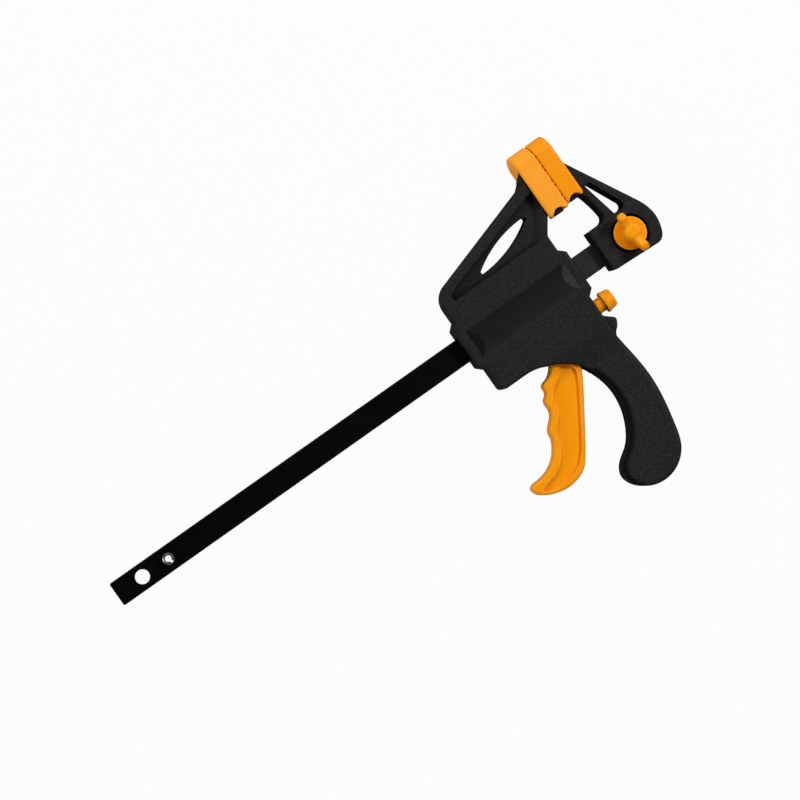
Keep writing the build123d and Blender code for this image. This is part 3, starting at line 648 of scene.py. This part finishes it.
def make_orange_pad(name, dust_and_painted_light):
    material, tree, shader = new_material(name)
    grain = effect(tree, "grain", Grain_size=0.5 * MM)
    rubbed = effect(tree, "edge", Width=0.7 * MM)["Rubbed"]
    smudge = effect(tree, "handling", Patch_size=11 * MM)["Smudge"]
    # Rubbed edges, dust and the pad's given paleness, which is painted light, pale the orange.
    dust_and_light_share = calculate(tree, "ADD", times(tree, rubbed, PAD_RUBBED),
                      spread(tree, smudge, 0, 1, dust_and_painted_light, dust_and_painted_light + DUST_VARIES), clamp=True)
    feed(tree, shader, Base_Color=blend_colours(tree, dust_and_light_share, PAD_ORANGE, PAD_DUSTY_AND_LIT),
         Roughness=spread(tree, smudge, 0, 1, *PAD_ROUGHNESS), Specular_IOR_Level=0.09,
         Normal=bump(tree, grain["Height"], 0.018 * MM, 0.6),
         Subsurface_Weight=0.15, Subsurface_Radius=LIGHT_REACHES, Subsurface_Scale=1.0)
    return material


# %% [markdown]
# ## Plated and hardened steel
# Screws, nut and washer are zinc plated and bright. The pin, the plates and the springs are
# hardened steel, which heat has darkened, and their flat sides keep the lines of the grinding.
# Both are one recipe: patchy metal with brighter edges over a fine relief.

# %% Materials: bright and hardened steel
def make_steel(name, relief, depth, patch_size, colours, worn, roughness):
    material, tree, shader = new_material(name)
    smudge = effect(tree, "handling", Patch_size=patch_size)["Smudge"]
    rubbed = effect(tree, "edge", Width=0.25 * MM)["Rubbed"]
    kind, sizes = relief
    height = effect(tree, kind, **sizes)["Height"]
    colour = blend_colours(tree, rubbed, blend_colours(tree, smudge, *colours), worn)
    feed(tree, shader, Base_Color=colour, Roughness=spread(tree, smudge, 0, 1, *roughness),
         Normal=bump(tree, height, depth, 0.5), Metallic=1.0)
    return material


BRIGHT = make_steel(
    "zinc plated steel", ("grain", {"Grain_size": 0.3 * MM}), 0.006 * MM, 2.5 * MM,
    ((0.50, 0.50, 0.49, 1), (0.62, 0.62, 0.60, 1)), (0.75, 0.75, 0.74, 1), (0.38, 0.26))
HARDENED = make_steel(
    "hardened steel", ("lines", {"Line_width": 0.10 * MM, "Stretch": 12.0}), 0.008 * MM, 5 * MM,
    ((0.16, 0.15, 0.14, 1), (0.27, 0.26, 0.25, 1)), (0.55, 0.54, 0.52, 1), (0.42, 0.30))
print("steels:", BRIGHT.name, "and", HARDENED.name)

# %% [markdown]
# ## Dress the solids
# Each solid takes the finish of the part that it is. A finish goes into the object's own
# material slot, so the solid's mesh stays as it came.

# %% Give each solid its finish
FINISHES = {
    NYLON: ("fixed_jaw", "housing_near_shell", "housing_far_shell"),
    BAR_BLACK: ("bar",),
    ORANGE_SATIN: ("wing_knob", "release_button"),
    BRIGHT: ("jaw_nut", "knob_washer", "housing_screws", "trigger_pivot_pin"),
    HARDENED: ("stop_pin", "drive_plate_front", "drive_plate_rear", "brake_plate",
               "release_button_ring"),
}


def dress(thing, material):
    for slot in thing.material_slots:
        slot.link = "OBJECT"
        slot.material = material


for material, names in FINISHES.items():
    for name in names:
        dress(nodes[name], material)
print("dressed", sum(len(names) for names in FINISHES.values()), "solids")

# %% [markdown]
# ## Pieces of our own
# Where a solid is too plain, a finer piece takes its place. Two helpers serve all of them: one
# gives a mesh an object and a finish, the other turns its modifiers into plain geometry.

# %% Helpers: pieces
def new_piece(name, mesh, material):
    piece = bpy.data.objects.new(name, mesh)
    bpy.context.scene.collection.objects.link(piece)
    mesh.materials.clear()
    mesh.materials.append(material)
    return piece


def apply_modifiers(piece):
    bpy.context.view_layer.update()
    graph = bpy.context.evaluated_depsgraph_get()
    shape = bpy.data.meshes.new_from_object(
        piece.evaluated_get(graph), preserve_all_data_layers=True, depsgraph=graph)
    piece.modifiers.clear()
    piece.data = shape


# %% [markdown]
# ## The clamp screw's thread
# A thread is one ridge wound round a core. A bump would leave the screw's outline straight, so
# this one is geometry. The side is a grid of points, rows along the axis and columns round it,
# and a point's radius depends on how far it is from the ridge, measured along the axis. The
# ridge rises one pitch in a turn. It ends where the screw is moulded into the knob.

# %% Shape of the thread
SCREW_PITCH, SCREW_CORE_RADIUS = 1.0 * MM, 2.42 * MM
RIDGE_TOP, RIDGE_SLOPE = 1.62, 3.45
THREAD_LENGTH = 13.6 * MM
TIP_CHAMFER = 0.55 * MM


def within_one(value):
    return min(1.0, max(0.0, value))


def screw_radius(height, angle, full_radius):
    """Radius of the threaded rod at a height above its tip."""
    phase = (height / SCREW_PITCH - angle / math.tau) % 1.0
    ridge = within_one(RIDGE_TOP - RIDGE_SLOPE * abs(phase - 0.5))
    run_out = within_one((height - THREAD_LENGTH + SCREW_PITCH) / SCREW_PITCH)
    ridge = ridge + (1.0 - ridge) * run_out
    radius = SCREW_CORE_RADIUS + (full_radius - SCREW_CORE_RADIUS) * ridge
    return min(radius, full_radius - TIP_CHAMFER + height)


# %% Wind the thread
ROWS_PER_PITCH, THREAD_COLUMNS = 12, 48


def wind_ring(mesh, foot, height, full_radius):
    ring = []
    for column in range(THREAD_COLUMNS):
        angle = math.tau * column / THREAD_COLUMNS
        out = screw_radius(height, angle, full_radius)
        ring.append(mesh.verts.new(
            foot + Vector((out * math.cos(angle), out * math.sin(angle), height))))
    return ring


def wind_screw():
    low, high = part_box("clamp_screw")
    full_radius = (high.x - low.x) / 2
    foot = Vector(((low.x + high.x) / 2, (low.y + high.y) / 2, low.z))
    step = SCREW_PITCH / ROWS_PER_PITCH
    heights = [step * row for row in range(int(THREAD_LENGTH / step) + 2)] + [high.z - low.z]
    mesh = bmesh.new()
    rings = [wind_ring(mesh, foot, height, full_radius) for height in heights]
    for below, above in zip(rings, rings[1:]):
        for column in range(THREAD_COLUMNS):
            after = (column + 1) % THREAD_COLUMNS
            side = mesh.faces.new((below[column], below[after], above[after], above[column]))
            side.smooth = True
    mesh.faces.new(rings[0][::-1])
    mesh.faces.new(rings[-1])
    data = bpy.data.meshes.new("threaded_clamp_screw")
    mesh.to_mesh(data)
    return data


screw = new_piece("threaded_clamp_screw", wind_screw(), BRIGHT)
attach(screw, "knob")
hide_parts("clamp_screw")
print("screw faces:", len(screw.data.polygons))

# %% [markdown]
# ## The trigger
# The trigger is a flat lever with soft, flowing edges, which a curve draws well. A flat NURBS
# curve, whose control points are the corners of a rough outline, flows past all of them without
# a kink. Filled, thickened and given a round bevel, it becomes the lever. A second curve, cut
# out of both broad sides, leaves the lip that stiffens the real lever, and a bevel rounds the
# edge of that lip, where the light catches it.

# %% Outlines of the trigger, in mm from the hole in the bar
TRIGGER_SIDE = (
    (207.0, -21.5), (206.0, -15.0), (199.5, -9.0), (195.9, -12.0), (195.9, -20.5),
    (193.4, -26.6), (189.6, -30.4), (184.9, -31.3), (185.1, -35.6), (181.7, -37.6),
    (182.3, -43.6), (175.9, -48.9), (176.0, -53.2), (171.0, -60.2), (163.8, -63.7),
    (156.1, -63.6), (156.1, -68.2), (161.4, -71.8), (169.8, -73.9), (178.9, -71.6),
    (183.8, -65.6), (194.0, -50.0), (203.9, -34.6), (205.4, -28.0))
RECESS_SIDE = (
    (199.8, -29.0), (201.2, -34.4), (196.8, -42.2), (188.9, -54.7), (182.2, -65.0),
    (176.6, -69.3), (168.2, -71.0), (161.2, -70.6), (158.6, -68.4), (161.6, -66.4),
    (168.0, -65.6), (173.4, -61.9), (177.6, -55.0), (178.6, -50.4), (184.6, -44.9),
    (184.9, -39.4), (188.0, -34.6), (194.2, -31.6), (196.6, -27.6))
TRIGGER_ROUNDING, TRIGGER_RECESS = 1.2 * MM, 1.4 * MM


def flat_curve(name, corners, half_thickness, rounding, height):
    """A filled NURBS outline, thickened both ways from a height above the bar's middle."""
    curve = bpy.data.curves.new(name, "CURVE")
    curve.dimensions, curve.fill_mode, curve.resolution_u = "2D", "BOTH", 6
    spline = curve.splines.new("NURBS")
    spline.points.add(len(corners) - 1)
    for point, (x, y) in zip(spline.points, corners):
        point.co = (x * MM, y * MM, 0, 1)
    spline.order_u, spline.use_cyclic_u = 3, True
    curve.extrude, curve.offset = half_thickness - rounding, -rounding
    curve.bevel_depth, curve.bevel_resolution = rounding, 4
    thing = bpy.data.objects.new(name, curve)
    thing.location = free_hole + Vector((0, 0, height))
    bpy.context.scene.collection.objects.link(thing)
    return thing


# %% From curve to mesh
WELD_WITHIN = 0.002 * MM


def solid_from(curve):
    """The curve's surface as a welded mesh in the clamp's own frame."""
    bpy.context.view_layer.update()
    graph = bpy.context.evaluated_depsgraph_get()
    shape = bpy.data.meshes.new_from_object(curve.evaluated_get(graph))
    shape.transform(curve.matrix_world)
    work = bmesh.new()
    work.from_mesh(shape)
    bmesh.ops.remove_doubles(work, verts=work.verts, dist=WELD_WITHIN)
    bmesh.ops.recalc_face_normals(work, faces=work.faces)
    work.to_mesh(shape)
    bpy.data.objects.remove(curve)
    return shape


# %% Cut the recesses and round the lip
LIP_ROUNDING, LIP_STEPS = 0.6 * MM, 3
LIP_SHARPER_THAN = math.radians(50)


def cut_recess(lever, half, side):
    """Cuts the recess into one broad side, and returns the tool that does it."""
    outline = flat_curve("recess outline", RECESS_SIDE, 2 * TRIGGER_RECESS, 0.0,
                         side * (half + TRIGGER_RECESS))
    tool = new_piece("recess tool", solid_from(outline), ORANGE_SATIN)
    cut = lever.modifiers.new("recess", "BOOLEAN")
    cut.operation, cut.solver, cut.object = "DIFFERENCE", "EXACT", tool
    return tool


def shape_trigger():
    low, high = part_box("trigger")
    half = (high.z - low.z) / 2
    outline = flat_curve("trigger outline", TRIGGER_SIDE, half, TRIGGER_ROUNDING, 0)
    lever = new_piece("scalloped_trigger", solid_from(outline), ORANGE_SATIN)
    tools = [cut_recess(lever, half, side) for side in (-1, 1)]
    soft = lever.modifiers.new("soft lip", "BEVEL")
    soft.width, soft.segments = LIP_ROUNDING, LIP_STEPS
    soft.limit_method, soft.angle_limit = "ANGLE", LIP_SHARPER_THAN
    lever.modifiers.new("flat faces look flat", "WEIGHTED_NORMAL")
    for thing in (lever, *tools):
        thing.data.polygons.foreach_set("use_smooth", [True] * len(thing.data.polygons))
    apply_modifiers(lever)
    for tool in tools:
        bpy.data.objects.remove(tool)
    return lever


trigger = shape_trigger()
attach(trigger, "trigger")
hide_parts("trigger")
print("trigger faces:", len(trigger.data.polygons))

# %% [markdown]
# ## Soft pads
# The pads are soft caps, cast in one piece, and nothing on them is as crisp as on the hard
# mouldings. Each one starts as a copy of its solid. Remeshing it at a quarter of a millimetre
# gives it one even skin, and a few rounds of smoothing let that skin relax, so that edges and
# grooves turn round as they do in rubber.

# %% Cast the pads
PAD_VOXEL = 0.25 * MM
RELAX_BY, RELAX_ROUNDS = 0.5, 4
PAD_PIECES = {
    # CAD node: (piece, body, name of its finish, how pale it is, dust and painted light)
    "movable_jaw_pad": ("soft_movable_pad", "housing", "soft orange pad, paler", 0.35),
    "fixed_jaw_pad": ("soft_fixed_pad", "bar_and_fixed_jaw", "soft orange pad", 0.0),
}


def cast_pad(node, name, material):
    pad = new_piece(name, nodes[node].data.copy(), material)
    remesh = pad.modifiers.new("one even skin", "REMESH")
    remesh.mode, remesh.voxel_size, remesh.use_smooth_shade = "VOXEL", PAD_VOXEL, True
    relax = pad.modifiers.new("relaxed skin", "CORRECTIVE_SMOOTH")
    relax.factor, relax.iterations = RELAX_BY, RELAX_ROUNDS
    relax.use_only_smooth, relax.use_pin_boundary = True, False
    apply_modifiers(pad)
    return pad


for node, (name, body, finish, dust_and_painted_light) in PAD_PIECES.items():
    pad = cast_pad(node, name, make_orange_pad(finish, dust_and_painted_light))
    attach(pad, body)
    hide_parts(node)
    print(name, "faces:", len(pad.data.polygons))

# %% [markdown]
# ## The springs
# Two coil springs sit round the bar inside the housing. One end of each stands on the housing
# and the other end pushes a steel plate. Each spring is copied as a piece of hardened steel in
# its place, and its solid is hidden.

# %% Copy the springs
SPRING_PIECES = {
    # CAD node: (piece, body of the plate that it pushes)
    "drive_spring": ("coiled_drive_spring", "drive_plates"),
    "brake_spring": ("coiled_brake_spring", "brake_plate"),
}

for node, (name, plate) in SPRING_PIECES.items():
    spring = new_piece(name, nodes[node].data.copy(), HARDENED)
    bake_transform(spring)
    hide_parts(node)

# %% [markdown]
# ## Floor and ceiling
# The floor shows white to the camera and pale to mirrors, but part of its brightness is still
# real light, so the clamp's soft shadow stays. The ceiling is the world: dim overhead, so that
# black stays black, and paler near the horizon, and white where the camera looks straight at it.

# %% Material: white floor
FLOOR_GREY = 0.36
GLOW_SEEN, GLOW_MIRRORED = 0.96, 0.12


def paint_floor():
    material, tree, shader = new_material("white floor")
    feed(tree, shader, Base_Color=grey(FLOOR_GREY), Roughness=0.9, Specular_IOR_Level=0.0)
    glow = feed(tree, add(tree, "Emission"), Color=grey(1.0), Strength=1.0)
    path = add(tree, "LightPath").outputs
    mirrored = calculate(tree, "MAXIMUM", path["Is Glossy Ray"], path["Is Transmission Ray"])
    glowing = calculate(tree, "MAXIMUM", times(tree, path["Is Camera Ray"], GLOW_SEEN),
                        times(tree, mirrored, GLOW_MIRRORED))
    mix = add(tree, "MixShader")
    for number, source in enumerate((glowing, shader.outputs[0], glow.outputs[0])):
        tree.links.new(source, mix.inputs[number])
    tree.links.new(mix.outputs[0], tree.nodes["Material Output"].inputs["Surface"])
    return material


floor.data.materials.append(paint_floor())
print("the floor is", floor.data.materials[0].name)

# %% World: studio ceiling
CEILING_LEVEL, HORIZON_LEVEL = 0.06, 0.32
HORIZON_BELOW, CEILING_ABOVE = 0.15, 0.85


def paint_world():
    world = bpy.data.worlds.new("studio ceiling")
    world.use_nodes = True
    bpy.context.scene.world = world
    tree = world.node_tree
    height = surface_axes(tree, "Generated")[2]
    level = spread(tree, height, HORIZON_BELOW, CEILING_ABOVE, HORIZON_LEVEL, CEILING_LEVEL)
    seen = add(tree, "LightPath").outputs["Is Camera Ray"]
    feed(tree, tree.nodes["Background"], Color=grey(1.0),
         Strength=calculate(tree, "MAXIMUM", level, seen))


paint_world()
bpy.context.scene.view_settings.view_transform = "Standard"
print("the world is", bpy.context.scene.world.name)
